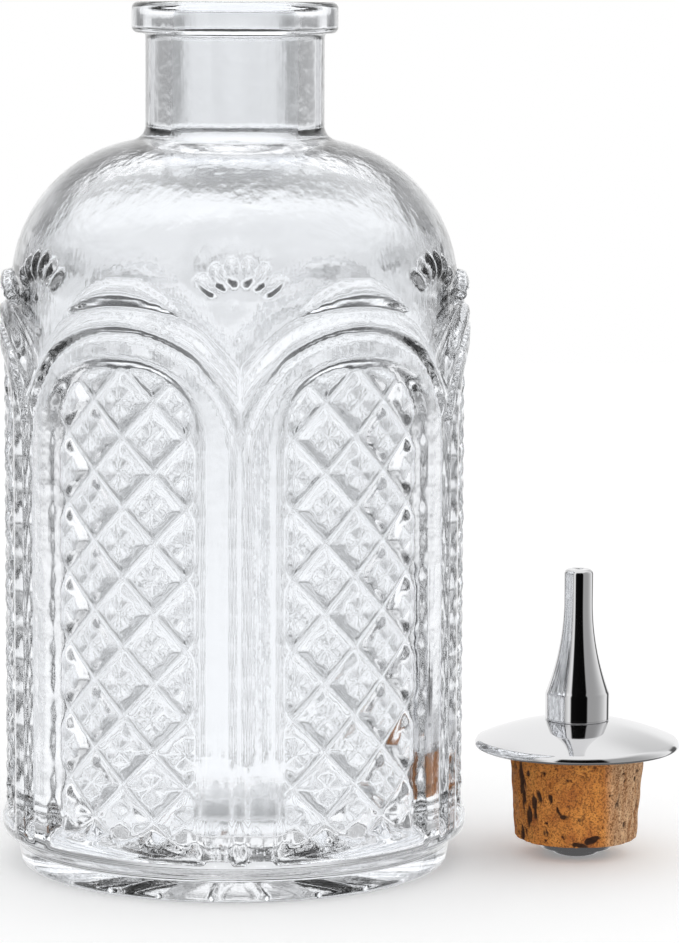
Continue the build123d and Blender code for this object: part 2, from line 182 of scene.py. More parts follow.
def relief(angle, z):
    """Height of the pressed relief at an angle round the bottle and a height up it.
    d is the distance from a panel's middle line, or above the spring of the arch from the
    arch's centre: the cube root of x^3 + (squash v)^3 at the lattice, where the arch is high
    and square in the shoulders, and sqrt(x^2 + v^2) at the outer band. With growing d come the
    lattice, a bevel, the inner band, a groove and the outer band, which slopes to the wall."""
    lattice_edge, bevel_foot, bevel_top, round_top = 9.7 * mm, 10.1 * mm, 11.4 * mm, 12.5 * mm
    low, bevel_low, bevel_rise, inner_rise = 0.15 * mm, 0.3 * mm, 1.62 * mm, 1.75 * mm
    groove_side, groove, groove_rise = 15.35 * mm, 15.5 * mm, 0.4 * mm
    band_foot, band_crown, band_end, outer_edge = 16.7 * mm, 17.4 * mm, 18.8 * mm, 19.3 * mm
    foot_rise, crown_rise, end_rise = 1.7 * mm, 1.6 * mm, 0.15 * mm
    lattice_fade, groove_fade, outer_fade = 0.5 * mm, 0.7 * mm, 0.6 * mm
    squash, square_until, round_from = 0.87, 10.5 * mm, 15.5 * mm

    local = (angle + panel_angle / 2) % panel_angle - panel_angle / 2
    flat_angle = asin(lattice_edge / (body_radius + low))
    band_angle = asin(round_top / (body_radius + inner_rise))
    reach = body_radius + np.interp(np.abs(local), (flat_angle, band_angle), (low, inner_rise))
    x, v = np.abs(reach * np.sin(local)), np.maximum(z - arch_spring, 0)
    square_arch, round_arch = np.cbrt(x**3 + (squash * v) ** 3), np.hypot(x, v)
    share = np.clip((round_arch - square_until) / (round_from - square_until), 0, 1)
    d = square_arch + (round_arch - square_arch) * share

    studs = lattice(4 * body_radius * local / diamond_width, 4 * (z - first_node) / diamond_height)
    bevel = np.interp(d, (lattice_edge, bevel_foot, bevel_top, round_top),
                      (low, bevel_low, bevel_rise, inner_rise))
    outer_band = np.interp(d, (groove, band_foot, band_crown, band_end),
                           (groove_rise, foot_rise, crown_rise, end_rise))
    height = studs + (bevel - studs) * soft_step(d, lattice_edge, lattice_fade)
    height += (groove_rise - inner_rise) * soft_step(d, groove_side, groove_fade)
    height += outer_band - groove_rise
    height -= end_rise * soft_step(d, outer_edge, outer_fade)

    beside = body_radius * (angle % panel_angle - panel_angle / 2)
    return np.maximum(height, np.maximum(crescent(reach * np.sin(local), z), seeds(beside, z)))


def base_ring(z):
    """Height of the rounded ring over the foot: reach times sqrt(1 - (z from its middle)^2)."""
    t = np.clip(1 - ((z - ring_middle) / ring_half_height) ** 2, 0, 1)
    return base_ring_reach * np.sqrt(t)


def underside(radius, angle):
    """Height of the underside: the dish h (1 - (r/R)^2) plus the V of the nearest ray of a
    sunburst of 24 grooves, which starts and ends softly."""
    ray_count, ray_start, ray_end = 24, 9.0 * mm, 27.4 * mm
    ray_width, ray_depth, start_fade, end_fade = 1.8 * mm, 0.9 * mm, 1.0 * mm, 0.8 * mm
    ray_angle = 2 * np.pi / ray_count
    dish = dish_depth * np.maximum(1 - (radius / dish_radius) ** 2, 0)
    beside = np.abs(radius * np.sin((angle / ray_angle % 1 - 0.5) * ray_angle))
    groove = ray_depth * np.clip(1 - 2 * beside / ray_width, 0, 1)
    ends = soft_step(radius, ray_start, start_fade) * (1 - soft_step(radius, ray_end, end_fade))
    return dish + groove * ends


def blown_waves(angle, z, size):
    """The slow waves that blowing leaves inside the glass: half the sum of five crossed sines,
    each its times round, its radians per millimetre up and its phase, less high the more there
    are round the bottle."""
    sines = ((2, 0.62, 0.3), (3, -0.94, 1.9), (5, 1.24, 4.1), (7, -0.58, 2.2), (11, 1.76, 5.3))
    fall = 0.15
    total = sum(np.sin(k * angle + up * z / mm + phase) / (1 + fall * k) for k, up, phase in sines)
    return size * total / 2


def rings(radius, z, angles):
    """Rings of points (r cos a, r sin a, z), one for each row of r and z."""
    radius, z, angle = np.broadcast_arrays(radius, z, angles)
    return np.stack([radius * np.cos(angle), radius * np.sin(angle), z], axis=-1)


def weave(points, number):
    """Two triangles for each four-sided cell of rows of rings. The cell is split along the
    diagonal whose ends are nearer to each other in distance from the axis, so that edges run
    along the grooves. number holds the number of each point."""
    right = np.roll(number, -1, axis=1)
    r = np.hypot(points[..., 0], points[..., 1])
    r_right = np.roll(r, -1, axis=1)
    a, b, c, d = number[:-1], right[:-1], right[1:], number[1:]
    straight = np.abs(r[:-1] - r_right[1:]) <= np.abs(r_right[:-1] - r[1:])
    one = np.stack([a, b, np.where(straight, c, d)], axis=-1)
    two = np.stack([np.where(straight, a, b), c, d], axis=-1)
    return np.concatenate([one.reshape(-1, 3), two.reshape(-1, 3)])


def thin_out(fine, coarse):
    """Triangles from a ring of points up to one with a third as many, which are at the angles
    of every third of them, from the second on."""
    a, b, c, d = fine[1::3], fine[2::3], np.roll(fine, -1)[2::3], np.roll(fine, -4)[::3]
    e, f = coarse, np.roll(coarse, -1)
    cells = (a, b, e), (b, c, e), (c, f, e), (c, d, f)
    return np.concatenate([np.stack(cell, axis=-1) for cell in cells])


def cap(pole, ring):
    """Triangles from a ring up to a single point on the axis."""
    return np.stack([ring, np.roll(ring, -1), np.full(len(ring), pole)], axis=-1)


def new_piece(name, points, faces):
    """A smooth-shaded mesh object with its place in its mesh."""
    data = bpy.data.meshes.new(name)
    data.from_pydata(points.reshape(-1, 3).tolist(), [], faces.tolist())
    data.shade_smooth()
    piece = bpy.data.objects.new(name, data)
    bpy.context.scene.collection.objects.link(piece)
    return piece


# The underside from its middle out, with its rays, and then the foot, a plain band.
dish_radii = mm * np.array([2.0, 4.0, 6.0, 8.0])[:, None]
dish = rings(dish_radii, underside(dish_radii, plain_angles), plain_angles)
ray_radii = mm * np.array([
    8.5, 9.0, 9.5, 11.0, 13.0, 15.0, 17.0, 19.0, 20.5, 22.0, 23.0, 25.0, 27.0, 27.4, 27.8])[:, None]
sunburst = rings(ray_radii, underside(ray_radii, fine_angles), fine_angles)
band_top = foot_height - 0.3 * mm
foot_profile = outline(
    arc((foot_radius - foot_rounding, foot_rounding), foot_rounding, -90, 0, 4),
    line((foot_radius, foot_rounding), (foot_radius + foot_flare, band_top), 3),
)
foot = rings(foot_profile[:, :1], foot_profile[:, 1:], fine_angles)

# Body and the start of the shoulder, pushed out square to the wall by the relief.
first_row = int((foot_height - first_node) / row_pitch) + 1
last_row = int((shoulder_start - first_node) / row_pitch)
wall_z = first_node + row_pitch * np.arange(first_row, last_row)
relief_arc = asin((relief_top - shoulder_start) / shoulder_radius)
arc_rows = int(shoulder_radius * relief_arc / row_pitch)
tilt = np.linspace(0, relief_arc, arc_rows + 1)[1:]
z = np.concatenate([
    [foot_height], wall_z, [shoulder_start], shoulder_start + shoulder_radius * np.sin(tilt)])[:, None]
lean = np.concatenate([np.zeros(len(wall_z) + 2), tilt])[:, None]
height = np.maximum(relief(fine_angles, z) * (z > ring_middle), base_ring(z))
wall = rings(shoulder_centre + shoulder_radius * np.cos(lean) + height * np.cos(lean),
             z + height * np.sin(lean), fine_angles)

# Shoulder, neck and lip, then the bore and the inside down to the middle of the floor. The
# plain glass starts a little past the relief's last row, by this many degrees of the shoulder.
arc_gap = 1.2
neck_centre = neck_radius + neck_fillet
neck_sweep = asin((neck_centre - shoulder_centre) / (shoulder_radius + neck_fillet))
neck_z = shoulder_start + (shoulder_radius + neck_fillet) * cos(neck_sweep)
outer_profile = outline(
    arc((shoulder_centre, shoulder_start), shoulder_radius,
        degrees(relief_arc) + arc_gap, 90 - degrees(neck_sweep), 18),
    arc((neck_centre, neck_z), neck_fillet, 270 - degrees(neck_sweep), 180, 5),
    line((neck_radius, neck_z), (neck_radius, lip_base - lip_fillet), 7),
    arc((neck_radius + lip_fillet, lip_base - lip_fillet), lip_fillet, 180, 90, 3),
    arc((lip_radius - lip_rounding, lip_base + lip_rounding), lip_rounding, -90, 0, 5),
    line((lip_radius, lip_base + lip_rounding), (lip_radius, bottle_height - lip_rounding), 4),
    arc((lip_radius - lip_rounding, bottle_height - lip_rounding), lip_rounding, 0, 90, 5),
    arc((bore_radius + mouth_rounding, bottle_height - mouth_rounding), mouth_rounding, 90, 180, 5),
)
inner_radius = body_radius - glass_wall
inner_shoulder = shoulder_radius - glass_wall
throat_centre = bore_radius + throat_fillet
throat_sweep = asin((throat_centre - shoulder_centre) / (inner_shoulder + throat_fillet))
throat_z = shoulder_start + (inner_shoulder + throat_fillet) * cos(throat_sweep)
floor_edge = inner_radius - floor_rounding
floor_middle = 2 * mm
inner_profile = outline(
    line((bore_radius, bottle_height - mouth_rounding), (bore_radius, throat_z), 8),
    arc((throat_centre, throat_z), throat_fillet, 180, 270 - degrees(throat_sweep), 5),
    arc((shoulder_centre, shoulder_start), inner_shoulder, 90 - degrees(throat_sweep), 0, 14),
    line((inner_radius, shoulder_start), (inner_radius, floor_thickness + floor_rounding), 26),
    arc((floor_edge, floor_thickness + floor_rounding), floor_rounding, 0, -90, 7),
    line((floor_edge, floor_thickness), (floor_middle, floor_thickness + floor_crown), 5),
)[1:]
wave_size, calm_neck, calm_fade = 0.07 * mm, bore_radius + 1.5 * mm, 3.0 * mm
inner_r, inner_z = inner_profile[:, :1], inner_profile[:, 1:]
waves = blown_waves(plain_angles, inner_z, wave_size) * soft_step(inner_r, calm_neck, calm_fade)
outer_rings = rings(outer_profile[:, :1], outer_profile[:, 1:], plain_angles)
inner_rings = rings(inner_r + waves, inner_z, plain_angles)

# The rings are numbered from the pole under the dish to the pole on the floor.
lower_rings = np.concatenate([sunburst, foot, wall])
upper_rings = np.concatenate([outer_rings, inner_rings])
glass_points, glass_numbers = [np.array([[0.0, 0.0, dish_depth]])], []
for stretch in (dish, lower_rings, upper_rings):
    first = sum(map(len, glass_points))
    glass_numbers.append(first + np.arange(stretch[..., 0].size).reshape(stretch.shape[:2]))
    glass_points.append(stretch.reshape(-1, 3))
floor_pole = sum(map(len, glass_points))
glass_points.append(np.array([[0.0, 0.0, floor_thickness + floor_crown]]))
dish_number, lower_number, upper_number = glass_numbers
mouth = len(outer_rings)
polished_faces = np.concatenate([
    cap(0, dish_number[0])[:, ::-1],
    weave(dish, dish_number),
    thin_out(lower_number[0], dish_number[-1])[:, ::-1],
    weave(lower_rings, lower_number),
    thin_out(lower_number[-1], upper_number[0]),
    weave(outer_rings, upper_number[:mouth]),
])
blown_faces = np.concatenate([
    weave(upper_rings[mouth - 1:], upper_number[mouth - 1:]),
    cap(floor_pole, upper_number[-1]),
])
bottle = new_piece("pressed_bottle", np.vstack(glass_points), np.vstack([polished_faces, blown_faces]))
bottle.data.polygons.foreach_set("material_index", np.repeat(
    np.array([0, 1], dtype=np.int32), [len(polished_faces), len(blown_faces)]))


def linear(code):
    """An sRGB colour such as 0xE0E1E5 as linear red, green, blue and alpha 1."""
    parts = np.array([code >> 16 & 255, code >> 8 & 255, code & 255]) / 255
    curved = np.where(parts <= 0.04045, parts / 12.92, ((parts + 0.055) / 1.055) ** 2.4)
    return (*curved.tolist(), 1.0)


def add(tree, kind, settings=None, **links):
    """Adds a node. Settings are its own values, by name. Links are its inputs, by name with _
    for a space or by number after n, each a value to set or another node's output to join."""
    node = tree.nodes.new(kind)
    for name, value in (settings or {}).items():
        setattr(node, name, value)
    for name, value in links.items():
        numbered = name[0] == "n" and name[1:].isdigit()
        socket = node.inputs[int(name[1:]) if numbered else name.replace("_", " ")]
        if isinstance(value, bpy.types.NodeSocket):
            tree.links.new(value, socket)
        else:
            socket.default_value = value
    return node


def new_material(name):
    """An empty node material, and its tree."""
    material = bpy.data.materials.new(name)
    material.use_nodes = True
    material.node_tree.nodes.clear()
    return material, material.node_tree


# Pressed soda glass, fire polished: colourless and fully clear. Slow waves 6 mm long and fine
# upright draw lines bend what is seen through it, and make its edges glitter.
pressed_glass, tree = new_material("pressed_glass")
place = add(tree, "ShaderNodeTexCoord").outputs["Object"]
waver = add(tree, "ShaderNodeTexNoise", None,
            Vector=place, Scale=1 / (6 * mm), Detail=1.0, Roughness=0.4)
wavy = add(tree, "ShaderNodeBump", None,
           Strength=0.12, Distance=0.12 * mm, Height=waver.outputs["Fac"])
upright = add(tree, "ShaderNodeMapping", None, Vector=place, Scale=(1, 1, 0.07))
draw = add(tree, "ShaderNodeTexNoise", None,
           Vector=upright.outputs[0], Scale=1 / (0.9 * mm), Detail=2.0, Roughness=0.5)
drawn = add(tree, "ShaderNodeBump", None, Strength=0.3, Distance=0.1 * mm,
            Height=draw.outputs["Fac"], Normal=wavy.outputs[0])
shader = add(tree, "ShaderNodeBsdfPrincipled", None, Base_Color=linear(0xF8FAFD), Roughness=0.0,
             IOR=1.5, Transmission_Weight=1.0, Normal=drawn.outputs[0])
add(tree, "ShaderNodeOutputMaterial", None, Surface=shader.outputs[0])

# The same glass where it is blown and never touches the mould: clear, but with a peel of
# shallow dimples 2 mm wide, which softens the relief seen through it.
blown_glass, tree = new_material("blown_glass_inside")
place = add(tree, "ShaderNodeTexCoord").outputs["Object"]
peel = add(tree, "ShaderNodeTexNoise", None,
           Vector=place, Scale=1 / (2.2 * mm), Detail=2.0, Roughness=0.5)
dimple = add(tree, "ShaderNodeBump", None,
             Strength=0.5, Distance=0.15 * mm, Height=peel.outputs["Fac"])
shader = add(tree, "ShaderNodeBsdfPrincipled", None, Base_Color=linear(0xFAFBFC), Roughness=0.13,
             IOR=1.5, Transmission_Weight=1.0, Normal=dimple.outputs[0])
add(tree, "ShaderNodeOutputMaterial", None, Surface=shader.outputs[0])
bottle.data.materials.append(pressed_glass)
bottle.data.materials.append(blown_glass)
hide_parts("bottle")
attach(bottle, "bottle")

# Cork: a natural cork, punched from bark and ground to a taper, with a hole for the bolt. Its
# side shows pores and short cracks, which are darker where they are deep.
cork_low, cork_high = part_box("cork")
cork_height = cork_high.z - cork_low.z
stopper_x = (cork_low.x + cork_high.x) / 2
cork_top_radius = (cork_high.x - cork_low.x) / 2
cork_bottom_radius = cork_top_radius - 0.85 * mm
cork_hole = 2.15 * mm
cork_rounding = 0.4 * mm
cork_top_edge = 0.15 * mm
cork_rows = 80


def turned(name, profile, columns, dent=None):
    """A piece turned about the stopper's axis: each point (r, z) of a closed outline becomes a
    ring (r cos a, r sin a). dent(a, z) may pull the surface in, by a depth that the attribute
    pit keeps in millimetres."""
    angle, radius = np.meshgrid(2 * np.pi * np.arange(columns) / columns, profile[:, 0])
    z = np.repeat(profile[:, 1:], columns, axis=1)
    depth = np.zeros_like(z) if dent is None else dent(angle, z)
    points = rings(radius - depth, z, angle) + np.array([stopper_x, 0, 0])
    i, j = np.meshgrid(np.arange(columns), np.arange(len(profile)))
    right, up = (i + 1) % columns, (j + 1) % len(profile)
    corners = j * columns + i, j * columns + right, up * columns + right, up * columns + i
    piece = new_piece(name, points, np.stack(corners, axis=-1).reshape(-1, 4))
    if dent is not None:
        pits = piece.data.attributes.new("pit", "FLOAT", "POINT")
        pits.data.foreach_set("value", (depth / mm).astype(np.float32).ravel())
    return piece


# Each large pit of the front: where it is across (the sine of its angle) and up the cork, both
# as shares, its height and width, its lean and its depth.
large_pits = np.array([
    (-0.90, 0.62, 2.9 * mm, 0.55 * mm, 0.05, 0.60 * mm),
    (-0.83, 0.30, 1.6 * mm, 0.50 * mm, -0.15, 0.55 * mm),
    (-0.74, 0.42, 1.4 * mm, 0.35 * mm, 0.10, 0.50 * mm),
    (-0.97, 0.88, 1.2 * mm, 0.50 * mm, 0.10, 0.50 * mm),
    (-0.93, 0.10, 0.9 * mm, 0.60 * mm, 0.00, 0.45 * mm),
    (-0.67, 0.54, 0.6 * mm, 0.30 * mm, 0.20, 0.40 * mm),
    (-0.51, 0.54, 0.6 * mm, 0.32 * mm, 0.50, 0.45 * mm),
    (-0.50, 0.70, 0.4 * mm, 0.22 * mm, 0.30, 0.30 * mm),
    (-0.38, 0.40, 0.8 * mm, 0.25 * mm, 0.60, 0.45 * mm),
    (-0.32, 0.34, 0.3 * mm, 0.60 * mm, 0.00, 0.45 * mm),
    (-0.87, 0.12, 0.7 * mm, 0.30 * mm, 0.20, 0.45 * mm),
    (0.17, 0.09, 0.4 * mm, 1.30 * mm, 0.25, 0.55 * mm),
    (-0.05, 0.03, 0.3 * mm, 0.90 * mm, -0.20, 0.50 * mm),
    (0.58, 0.50, 4.5 * mm, 0.12 * mm, 0.02, 0.12 * mm),
    (0.80, 0.55, 5.0 * mm, 0.14 * mm, -0.02, 0.14 * mm),
    (0.93, 0.40, 3.0 * mm, 0.25 * mm, 0.03, 0.30 * mm),
])
# The small pits lie all round by chance: their count, and the least and most of their height,
# width and depth, of their lean and of their place up the cork.
bark = np.random.default_rng(7)
small_count = 150
small_sizes = (0.12 * mm, 0.55 * mm), (0.1 * mm, 0.3 * mm), (0.1 * mm, 0.35 * mm)
small_lean, small_place = (-0.6, 0.6), (0.02, 0.98)
pit_angle = np.concatenate([
    np.arcsin(large_pits[:, 0]) - np.pi / 2, bark.uniform(-np.pi, np.pi, small_count)])
pit_z = cork_low.z + cork_height * np.concatenate([
    large_pits[:, 1], bark.uniform(*small_place, small_count)])
tall, wide, deep = (bark.uniform(least, most, small_count) for least, most in small_sizes)
pit_tall = np.concatenate([large_pits[:, 2], tall])
pit_wide = np.concatenate([large_pits[:, 3], wide])
pit_deep = np.concatenate([large_pits[:, 5], deep])
pit_lean = np.concatenate([large_pits[:, 4], bark.uniform(*small_lean, small_count)])


def pores(angle, z):
    """Depth of the pores and cracks: flat-bottomed pits d min(1, 1.6 exp(-(u/w)^2 - (v/t)^2)),
    each leaning a little and with a wavering edge, over slow waves of the ground side."""
    steepness = 1.6
    ragged, ragged_pitch, fine_ragged = 0.18 * mm, 0.45 * mm, 0.1 * mm
    ground, long_wave, middle_wave, short_wave = 0.05 * mm, 2.0 * mm, 1.1 * mm, 0.7 * mm
    depth = np.zeros_like(z)
    waver = ragged * np.sin(z / ragged_pitch + 3 * np.sin(17 * angle)) + fine_ragged * np.sin(61 * angle)
    for a, middle, t, w, lean, d in zip(pit_angle, pit_z, pit_tall, pit_wide, pit_lean, pit_deep):
        u = cork_top_radius * ((angle - a + np.pi) % (2 * np.pi) - np.pi) + waver
        v = z - middle
        across = u * cos(lean) + v * sin(lean)
        along = v * cos(lean) - u * sin(lean)
        pit = np.exp(-((across / w) ** 2) - (along / t) ** 2)
        depth = np.maximum(depth, d * np.minimum(1, steepness * pit))
    slow = np.sin(9 * angle + z / long_wave) + np.sin(23 * angle - z / middle_wave)
    return depth + ground * (slow + np.sin(5 * angle + z / short_wave))


cork_taper = np.column_stack([
    np.linspace(cork_bottom_radius, cork_top_radius, cork_rows),
    np.linspace(cork_low.z + cork_rounding, cork_high.z - cork_top_edge, cork_rows)])
cork_foot = cork_bottom_radius - cork_rounding
cork = turned("cork_stopper", outline(
    line((cork_hole, cork_low.z), (cork_foot, cork_low.z), 4),
    arc((cork_foot, cork_low.z + cork_rounding), cork_rounding, -90, 0, 4),
    cork_taper,
    line((cork_top_radius - cork_top_edge, cork_high.z), (cork_hole, cork_high.z), 4),
), 400, pores)

# Ground natural cork: warm brown cells, blotched every 2.5 mm and finely speckled, and matt.
# Towards +X it turns to a paler tint with upright grain: the grain is the cork's, the paleness
# is painted light on that side. The pores are nearly black.
natural_cork, tree = new_material("ground_natural_cork")
place = add(tree, "ShaderNodeTexCoord").outputs["Object"]
blotch = add(tree, "ShaderNodeTexNoise", None,
             Vector=place, Scale=1 / (2.5 * mm), Detail=6.0, Roughness=0.65)
upright = add(tree, "ShaderNodeMapping", None, Vector=place, Scale=(1, 1, 0.12))
streaks = add(tree, "ShaderNodeTexNoise", None,
              Vector=upright.outputs[0], Scale=1 / (0.7 * mm), Detail=4.0, Roughness=0.6)
tints = []
for pattern, dark, light in ((blotch, 0xAE5E19, 0xEA9C42), (streaks, 0xA9774A, 0xE6C096)):
    tint = add(tree, "ShaderNodeValToRGB", None, Fac=pattern.outputs["Fac"])
    tint.color_ramp.elements[0].position = 0.3
    tint.color_ramp.elements[0].color = linear(dark)
    tint.color_ramp.elements[1].position = 0.7
    tint.color_ramp.elements[1].color = linear(light)
    tints.append(tint.outputs[0])
# Painted light: towards +X the cork blends into the paler grain tint, a painted lit side.
sides = add(tree, "ShaderNodeSeparateXYZ", None, Vector=place)
painted_lit_side = add(tree, "ShaderNodeMapRange", {"interpolation_type": "SMOOTHSTEP"},
                 Value=sides.outputs["X"], From_Min=stopper_x + 2.5 * mm,
                 From_Max=stopper_x + 4.8 * mm, To_Min=0.05, To_Max=1.0)
body = add(tree, "ShaderNodeMix", {"data_type": "RGBA"}, n0=painted_lit_side.outputs[0], n6=tints[0],
           n7=tints[1])
grain = add(tree, "ShaderNodeTexNoise", None,
            Vector=place, Scale=1 / (0.28 * mm), Detail=3.0, Roughness=0.7)
speck = add(tree, "ShaderNodeMapRange", {"interpolation_type": "SMOOTHSTEP"},
            Value=grain.outputs["Fac"], From_Min=0.36, From_Max=0.56, To_Min=0.85, To_Max=0.0)
specked = add(tree, "ShaderNodeMix", {"data_type": "RGBA"}, n0=speck.outputs[0],
              n6=body.outputs[2], n7=linear(0x6B3D14))
pit = add(tree, "ShaderNodeAttribute", {"attribute_name": "pit"})
hollow = add(tree, "ShaderNodeMapRange", {"interpolation_type": "SMOOTHSTEP"},
             Value=pit.outputs["Fac"], From_Min=0.1, From_Max=0.32, To_Min=0.0, To_Max=0.92)
cork_colour = add(tree, "ShaderNodeMix", {"data_type": "RGBA"}, n0=hollow.outputs[0],
                  n6=specked.outputs[2], n7=linear(0x2A160A))
cork_bump = add(tree, "ShaderNodeBump", None,
                Strength=0.6, Distance=0.12 * mm, Height=grain.outputs["Fac"])
shader = add(tree, "ShaderNodeBsdfPrincipled", None, Base_Color=cork_colour.outputs[2],
             Roughness=0.8, Normal=cork_bump.outputs[0])
add(tree, "ShaderNodeOutputMaterial", None, Surface=shader.outputs[0])
cork.data.materials.append(natural_cork)
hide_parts("cork")
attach(cork, "stopper")

# Cover disc: a cast zinc cap with a low dome and a thin rim, nickel plated and polished to a
# mirror. It sits on the cork, held by the bolt, and carries the nozzle and its gasket.
cover_low, cover_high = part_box("cover_disc")
cover_radius = (cover_high.x - cover_low.x) / 2
cover_rim = 1.0 * mm
rim_rounding = 0.45 * mm
dome_edge = cover_radius - 0.35 * mm
seat_radius = 4.5 * mm
seat_chamfer = 0.05 * mm
recess_radius = 3.45 * mm
recess_z = cover_high.z - 0.6 * mm


def cover_dome(count):
    """The dome from the rim to the seat: z = top - rise (r^2 - seat^2) / (rim^2 - seat^2)."""
    r = np.linspace(dome_edge, seat_radius, count)
    share = (r**2 - seat_radius**2) / (cover_radius**2 - seat_radius**2)
    rise = cover_high.z - cover_low.z - cover_rim
    return np.column_stack([r, cover_high.z - rise * share])


cover = turned("polished_cover", outline(
    line((cork_hole, cover_low.z), (cover_radius - rim_rounding, cover_low.z), 5),
    arc((cover_radius - rim_rounding, cover_low.z + rim_rounding), rim_rounding, -90, 20, 8),
    cover_dome(40),
    line((seat_radius - seat_chamfer, cover_high.z), (recess_radius, cover_high.z), 2),
    line((recess_radius, recess_z), (cork_hole, recess_z), 2),
), 160)

# Polished nickel plate: a bright, faintly warm mirror, a little softer than chrome.
nickel, tree = new_material("polished_nickel_plate")
shader = add(tree, "ShaderNodeBsdfPrincipled", None, Base_Color=linear(0xE6E6E7), Metallic=1.0,
             Roughness=0.06)
add(tree, "ShaderNodeOutputMaterial", None, Surface=shader.outputs[0])
cover.data.materials.append(nickel)
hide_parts("cover_disc")
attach(cover, "stopper")

# Nozzle: a brass tube turned with a broad foot and a long flare, then chrome plated and
# polished. It screws onto the bolt, and its rounded tip has a small hole.
nozzle_low, nozzle_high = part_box("nozzle")
foot_edge = (nozzle_high.x - nozzle_low.x) / 2
foot_chamfer = 0.2 * mm
foot_top = nozzle_low.z + 3.5 * mm
bulge_radius, bulge_angle = 1.2 * mm, 24
flare_inset, flare_z = 0.165 * mm, foot_top + 0.6 * mm
tube_radius = 2.02 * mm
tube_start = nozzle_high.z - 4.5 * mm
tip_rounding = 0.7 * mm
tip_hole, tip_wall = 0.6 * mm, 0.7 * mm
insert_radius, insert_end = 1.4 * mm, nozzle_high.z - 4.7 * mm
bolt_end = nozzle_low.z + 4.1 * mm


def flare(count):
    """The hollow curve from the foot up to the tube: radius = tube + (foot - tube) t^2, with t
    falling evenly from 1 at the foot to 0 at the tube, so that it runs into the tube smoothly."""
    t = np.linspace(1, 0, count)
    start = foot_edge - flare_inset
    return np.column_stack([
        tube_radius + (start - tube_radius) * t**2, tube_start - (tube_start - flare_z) * t])


nozzle = turned("pouring_nozzle", outline(
    line((cork_hole, nozzle_low.z), (foot_edge - foot_chamfer, nozzle_low.z), 3),
    arc((foot_edge - foot_chamfer, nozzle_low.z + foot_chamfer), foot_chamfer, -90, 0, 3),
    line((foot_edge, nozzle_low.z + foot_chamfer), (foot_edge, foot_top), 5),
    arc((foot_edge - bulge_radius, foot_top), bulge_radius, 0, bulge_angle, 6),
    flare(40),
    line((tube_radius, tube_start), (tube_radius, nozzle_high.z - tip_rounding), 8),
    arc((tube_radius - tip_rounding, nozzle_high.z - tip_rounding), tip_rounding, 0, 90, 8),
    line((tip_hole, nozzle_high.z), (tip_hole, nozzle_high.z - tip_wall), 3),
    line((insert_radius, nozzle_high.z - tip_wall), (insert_radius, insert_end), 3),
    line((cork_hole, bolt_end), (cork_hole, nozzle_low.z), 3)[:-1],
), 128)

# Polished chrome plate: the sharpest mirror on the object, nearly white where it is lit.
chrome, tree = new_material("polished_chrome_plate")
shader = add(tree, "ShaderNodeBsdfPrincipled", None, Base_Color=linear(0xE2E2E3), Metallic=1.0,
             Roughness=0.03)
add(tree, "ShaderNodeOutputMaterial", None, Surface=shader.outputs[0])
nozzle.data.materials.append(chrome)
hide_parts("nozzle")
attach(nozzle, "stopper")

# Bolt and cup washer: a turned steel bolt with a low domed head, drilled through for the
# liquid, and the pressed steel washer that it pulls up against the cork.
washer_low, washer_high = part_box("cup_washer")
washer_top_radius = (washer_high.x - washer_low.x) / 2
washer_bottom_radius = washer_top_radius - 0.55 * mm
washer_rounding = 0.3 * mm
washer_rim = 0.2 * mm
rim_chamfer = 0.1 * mm
washer_foot = washer_bottom_radius - washer_rounding
rim_start = washer_high.z - washer_rounding
washer = turned("cup_washer_bright", outline(
    line((cork_hole, washer_low.z), (washer_foot, washer_low.z), 4),
    arc((washer_foot, washer_low.z + washer_rounding), washer_rounding, -90, 0, 4),
    line((washer_bottom_radius, washer_low.z + washer_rounding), (washer_top_radius, rim_start), 4),
    line((washer_top_radius, washer_high.z - washer_rim),
         (washer_top_radius - rim_chamfer, washer_high.z), 2),
    line((washer_top_radius - washer_rim, washer_high.z), (cork_hole, washer_high.z), 3),
), 96)
bolt_low, bolt_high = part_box("hollow_bolt")
head_radius = (bolt_high.x - bolt_low.x) / 2
head_flat = 2.2 * mm
bolt_radius = 2.1 * mm
bolt_bore = 1.1 * mm
head_turn = np.linspace(0, np.pi / 2, 9)
head_dome = np.column_stack([
    head_flat + (head_radius - head_flat) * np.sin(head_turn),
    washer_low.z - (washer_low.z - bolt_low.z) * np.cos(head_turn)])
bolt = turned("hollow_bolt_turned", outline(
    line((bolt_bore, bolt_low.z), (head_flat, bolt_low.z), 3),
    head_dome,
    line((head_radius - rim_chamfer, washer_low.z), (bolt_radius, washer_low.z), 3),
    line((bolt_radius, washer_low.z), (bolt_radius, bolt_high.z), 6),
    line((bolt_bore, bolt_high.z), (bolt_bore, bolt_low.z), 6)[:-1],
), 96)

# Turned bright steel: greyer than the plated pieces, with rings left by the lathe's tool. They
# are drawn 0.9 mm apart, far coarser than real ones, so that they show.
steel, tree = new_material("turned_bright_steel")
place = add(tree, "ShaderNodeTexCoord").outputs["Object"]
centred = add(tree, "ShaderNodeMapping", None, Vector=place, Location=(-stopper_x, 0, 0))
lathe = add(tree, "ShaderNodeTexWave", {"wave_type": "RINGS", "rings_direction": "Z"},
            Vector=centred.outputs[0], Scale=1 / (0.9 * mm), Distortion=0.5)
turning = add(tree, "ShaderNodeBump", None,
              Strength=0.15, Distance=0.02 * mm, Height=lathe.outputs["Fac"])
shader = add(tree, "ShaderNodeBsdfPrincipled", None, Base_Color=linear(0xCDCDCF), Metallic=1.0,
             Roughness=0.2, Normal=turning.outputs[0])
add(tree, "ShaderNodeOutputMaterial", None, Surface=shader.outputs[0])
for piece, node in ((washer, "cup_washer"), (bolt, "hollow_bolt")):
    piece.data.materials.append(steel)
    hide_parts(node)
    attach(piece, "stopper")

